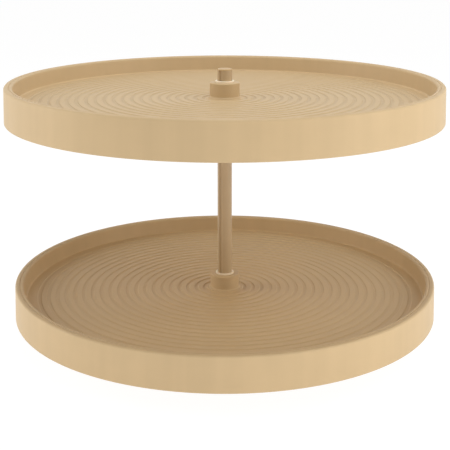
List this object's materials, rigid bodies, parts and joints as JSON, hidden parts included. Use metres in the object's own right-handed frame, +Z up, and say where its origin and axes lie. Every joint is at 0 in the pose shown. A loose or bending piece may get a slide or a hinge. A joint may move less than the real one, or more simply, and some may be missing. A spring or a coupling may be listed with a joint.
{
  "type": "two-shelf rotating corner cabinet tray set",
  "caption": "Round rimmed trays with ring-grooved shelves that turn independently on a keyed centre post standing in a screwed-down floor flange.",
  "frame": {"origin": "middle of the underside of the floor flange, on the post axis", "axes": "+Z up along the post, -Y towards the front of the cabinet, +X to the right seen from the front"},
  "size_m": [0.61, 0.61, 0.381],
  "materials": {
    "tray_polymer": "satin moulded almond",
    "post_paint": "satin almond paint",
    "post_cap": "satin moulded almond",
    "nylon": "ivory bearing nylon",
    "zinc_plate": "bright zinc plate",
    "steel": "plain steel"
  },
  "bodies": {
    "stand": {"floor_flange": "tray_polymer", "flange_lock_screw": "steel", "post": "post_paint", "post_foot_plug": "nylon", "post_top_plug": "post_cap", "lower_collar": "zinc_plate", "lower_collar_screw": "steel", "lower_seat_race": "zinc_plate", "upper_collar": "zinc_plate", "upper_collar_screw": "steel", "upper_seat_race": "zinc_plate"},
    "lower_shelf": {"lower_tray": "tray_polymer", "lower_top_bush": "nylon", "lower_bottom_bush": "nylon", "lower_tray_race": "zinc_plate"},
    "lower_bearing": {"lower_ball_cage": "nylon", "lower_balls": "steel"},
    "upper_shelf": {"upper_tray": "tray_polymer", "upper_top_bush": "nylon", "upper_bottom_bush": "nylon", "upper_tray_race": "zinc_plate"},
    "upper_bearing": {"upper_ball_cage": "nylon", "upper_balls": "steel"}
  },
  "joints": [
    {"name": "lower_tray_spin", "type": "hinge", "parent": "stand", "child": "lower_shelf", "pos_m": [0, 0, 0.04198], "axis": [0, 0, 1], "continuous": true},
    {"name": "lower_cage_spin", "type": "hinge", "parent": "stand", "child": "lower_bearing", "pos_m": [0, 0, 0.04198], "axis": [0, 0, 1], "continuous": true},
    {"name": "upper_tray_spin", "type": "hinge", "parent": "stand", "child": "upper_shelf", "pos_m": [0, 0, 0.32398], "axis": [0, 0, 1], "continuous": true},
    {"name": "upper_cage_spin", "type": "hinge", "parent": "stand", "child": "upper_bearing", "pos_m": [0, 0, 0.32398], "axis": [0, 0, 1], "continuous": true}
  ],
  "couplings": [
    {"joint": "lower_cage_spin", "follows": "lower_tray_spin", "ratio": 0.5},
    {"joint": "upper_cage_spin", "follows": "upper_tray_spin", "ratio": 0.5}
  ]
}
